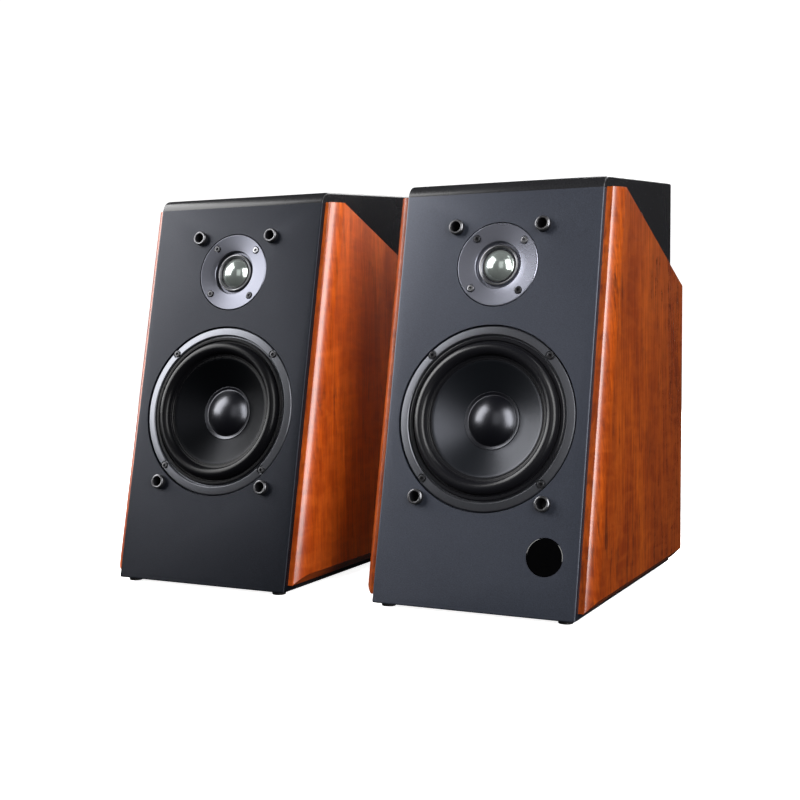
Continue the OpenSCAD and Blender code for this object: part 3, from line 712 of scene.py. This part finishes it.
def treble_driver(side, body):
    m = place(side + "_treble_screws", front_frame(side))

    # dished plate, a groove, and the seat of the trim ring
    loop = rounded([
        (22, -6.6), (22, -3), (34, -3), (34, -0.6, 0.2), (33.4, 0, 0.3), (32.5, -0.09),
        (24.7, -0.95), (19.6, -1.5, 0.3), (19.2, -2.0, 0.2), (18.9, -5.0, 0.2),
        (17.0, -5.0, 0.2), (16.6, -3.4, 0.3), (15.0, -3.4, 0.3), (14.2, -3.9, 0.2),
        (14.2, -5.4), (13.2, -5.4), (13.2, -6.6)], True)
    plate = lathe(m, loop, 160)
    spots = around(m, 28.6, 42)
    plate = carve(plate, [screw_pocket(s, 3.4, 1.7, 5) for s in spots])
    piece(side + "_treble_plate", plate, plate_paint[side], body, "treble_plate",
          side + "_treble_faceplate")
    trim = rounded([(16.7, -3.6), (16.5, -2.8, 0.2), (15.7, -2.5, 0.2), (14.6, -3.1, 0.3),
                    (14.3, -3.7)], True)
    piece(side + "_treble_trim_ring", lathe(m, trim, 128), trim_metal, body, "treble_plate")

    # one screw of the left speaker and two of the right are given the lighter screw metal, a
    # painted glint where those heads catch the light
    heads = [socket_screw(s, 2.7, 0.35, -1.7, 1.45) for s in spots]
    for head in heads[0:3:2] if side == "right" else heads[0:1]:
        for face in head.polygons:
            face.material_index = 1
    piece(side + "_treble_plate_screws", merge(heads), [steel_black, bright_screw], body,
          "black_screw", side + "_treble_screws")

    # dome with its own small roll and the former under it; the roll is of dark plastic
    top = bulge(12.4, 6.2, -4.2)
    under = [(r, z - 0.35) for r, z in reversed(top[:-1])]
    roll = [(12.7, -4.35, 0.2), (13.2, -3.85, 0.4), (13.75, -4.4, 0.3), (13.75, -4.75)]
    roll += [(12.6, -4.75), (12.25, -4.9), (12.25, -10), (11.95, -10), (11.95, -4.45)]
    data = lathe(m, rounded(top + roll + under), 128, False)
    inverse = m.inverted()
    for face in data.polygons:
        face.material_index = (inverse @ face.center).to_2d().length > 12.45 * MM
    piece(side + "_treble_film", data, [film, cup_plastic], side + "_treble_diaphragm",
          "dome_film", side + "_treble_dome")


# ---------------------------------------------------------------- sockets, window, feet

def grille_sockets(side, body):
    bodies, rims = [], []
    for at in sockets(side, front_frame(side)):
        bodies.append(lathe(at, rounded([
            (0, -10), (4.1, -10), (4.1, 4.1, 0.2), (4.5, 4.2), (5.8, 3.6), (6.1, 3.2, 0.2),
            (6.1, 0.0), (4.88, 0.0), (4.88, -12), (0, -12)]), 64, False))
        rims.append(lathe(at, rounded([(4.35, 3.9), (4.45, 4.45, 0.15), (5.3, 4.48, 0.3),
                                       (6.1, 3.9, 0.5), (6.2, 3.2), (5.6, 3.2)], True), 64))
    piece(side + "_socket_cups", merge(bodies), cup_plastic, body, "socket_plastic",
          side + "_grille_sockets")
    piece(side + "_socket_rims", merge(rims), chrome, body, "socket_plastic")


def window(side, body):
    at = place(side + "_window", front_frame(side))
    data = lathe(at, rounded([(0, -3), (14.5, -3), (14.5, -0.1, 0.2), (14.0, 0.2, 0.2),
                              (0, 0.25)]), 96, False)
    piece(side + "_smoked_window", data, window_gloss, body, "window_gloss", side + "_window")


def feet(side, body):
    low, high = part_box(side + "_feet")
    r, parts = 6.0, []
    for x in (low.x + r * MM, high.x - r * MM):
        for y in (low.y + r * MM, high.y - r * MM):
            at = Matrix.Translation((x, y, 0))
            parts.append(lathe(at, rounded([(0, 0), (5.6, 0, 0.4), (r, 3.0), (0, 3.0)]), 48,
                               False))
    piece(side + "_rubber_feet", merge(parts), foot_rubber, body, "foot_rubber", side + "_feet")


for side, body in (("right", "powered_speaker"), ("left", "passive_speaker")):
    cabinet(side, body, side == "right")
    wood_panel(side, "inner", body)
    wood_panel(side, "outer", body)
    bass_driver(side, body)
    treble_driver(side, body)
    grille_sockets(side, body)
    feet(side, body)
window("right", "powered_speaker")


# ---------------------------------------------------------------- CAD nodes that stay

green = grained("circuit_board", (0.02, 0.09, 0.035), 0.35, 400, 0.00004, 0.4)
cloth = grained("spider_cloth", (0.45, 0.33, 0.13), 0.8, 1400, 0.0001, 0.4)
red = grained("lever_red", (0.45, 0.02, 0.015), 0.35, 1600, 0.00003, 0.2)
CAD_LOOKS = {
    "back_board": shell_paint, "reflex_port": plastic, "amplifier_plate": plastic,
    "amplifier_board": green, "transformer": steel_black, "volume_knob": plastic,
    "bass_knob": plastic, "treble_knob": plastic, "power_switch_body": plastic,
    "power_rocker": plastic, "mains_inlet": plastic, "input_jacks": silver,
    "terminal_block": plastic, "red_lever": red, "black_lever": plastic,
    "plate_screws": bright_screw, "terminal_screws": bright_screw, "bass_motor": steel_black,
    "bass_spider": cloth, "bass_voice_coil": silver, "treble_motor": steel_black,
    "crossover_board": green,
}

for name, node in frame["nodes"].items():
    if node.hide_render:    # replaced by a piece above
        continue
    for slot in node.material_slots:
        slot.material = CAD_LOOKS[name.split("_", 1)[1]]
    soften = node.modifiers.new("planes", "DECIMATE")
    soften.decimate_type, soften.angle_limit = "DISSOLVE", radians(0.5)
    bevel = node.modifiers.new("edges", "BEVEL")
    bevel.width, bevel.segments, bevel.limit_method = 0.3 * MM, 2, "ANGLE"
    bevel.angle_limit = radians(40)


# ---------------------------------------------------------------- stage, light, camera

def stage_floor():
    """Round pale floor that curves up into a wall on all sides."""
    flat_r, bend_r, wall_top = 3.2, 1.2, 4.5
    points = [(0, 0)] + [(flat_r * k / 12, 0) for k in range(1, 13)]
    points += [(flat_r + bend_r * sin(pi / 2 * k / 16), bend_r - bend_r * cos(pi / 2 * k / 16))
               for k in range(1, 17)] + [(4.4, wall_top)]
    data = lathe(Matrix.Identity(4), points, 96, False, 60)
    o = bpy.data.objects.new("floor", data)
    bpy.context.scene.collection.objects.link(o)
    s = Surface("pale_floor", (0.86, 0.86, 0.86), 0.9)
    s.put("Emission Color", (1, 1, 1, 1))
    s.put("Emission Strength", 0.9)
    s.put("Specular IOR Level", 0.1)
    data.materials.append(s.made)
    o.visible_glossy = o.visible_diffuse = False


OBJECT_MIDDLE = Vector((0, 0, 0.16))


def softbox(name, azimuth, elevation, distance, width, height, power, mirrored=True):
    """Area light aimed at the object's middle, at an azimuth from the front (positive to the
    listener's right). One that isn't mirrored makes no reflections."""
    light = bpy.data.lights.new(name, "AREA")
    light.shape, light.size, light.size_y = "RECTANGLE", width, height
    light.energy = power
    o = bpy.data.objects.new(name, light)
    a, e = radians(azimuth), radians(elevation)
    back = Vector((sin(a) * cos(e), -cos(a) * cos(e), sin(e)))
    o.location = OBJECT_MIDDLE + back * distance
    o.rotation_euler = back.to_track_quat("Z", "Y").to_euler()
    o.visible_camera, o.visible_glossy = False, mirrored
    bpy.context.scene.collection.objects.link(o)


def world(glow):
    w = bpy.data.worlds.new("studio")
    bpy.context.scene.world = w
    w.use_nodes = True
    background = w.node_tree.nodes["Background"]
    background.inputs["Color"].default_value = (1, 1, 1, 1)
    background.inputs["Strength"].default_value = glow


stage_floor()
world(0.012)
softbox("left_softbox", -68, 30, 1.9, 1.85, 1.6, 105)
softbox("right_softbox", 56, 22, 1.9, 0.88, 1.8, 66)
softbox("front_fill", 12, 22, 1.9, 0.8, 1.3, 4.5)
softbox("side_softbox", 105, 52, 1.2, 0.6, 0.6, 4.6)
softbox("rear_softbox", 168, 36, 2.0, 1.4, 0.8, 26)
softbox("rear_fill", 180, 20, 2.2, 1.6, 1.2, 45, mirrored=False)

# the photograph's viewing angle, between the best places for each of the two speakers
camera_data = bpy.data.cameras.new("camera")
camera_data.lens, camera_data.sensor_width = 56.66, 36
camera = bpy.data.objects.new("camera", camera_data)
camera.location = (0.4954, -1.0219, 0.2180)
aim = Vector((0.43943, -0.89658, 0.05530)).to_track_quat("Z", "Y")
camera.rotation_euler = (aim @ Quaternion((0, 0, 1), radians(-0.3))).to_euler()
bpy.context.scene.collection.objects.link(camera)
bpy.context.scene.camera = camera
view = bpy.context.scene.view_settings
view.view_transform, view.look, view.exposure, view.gamma = "Standard", "None", 0.0, 1.0
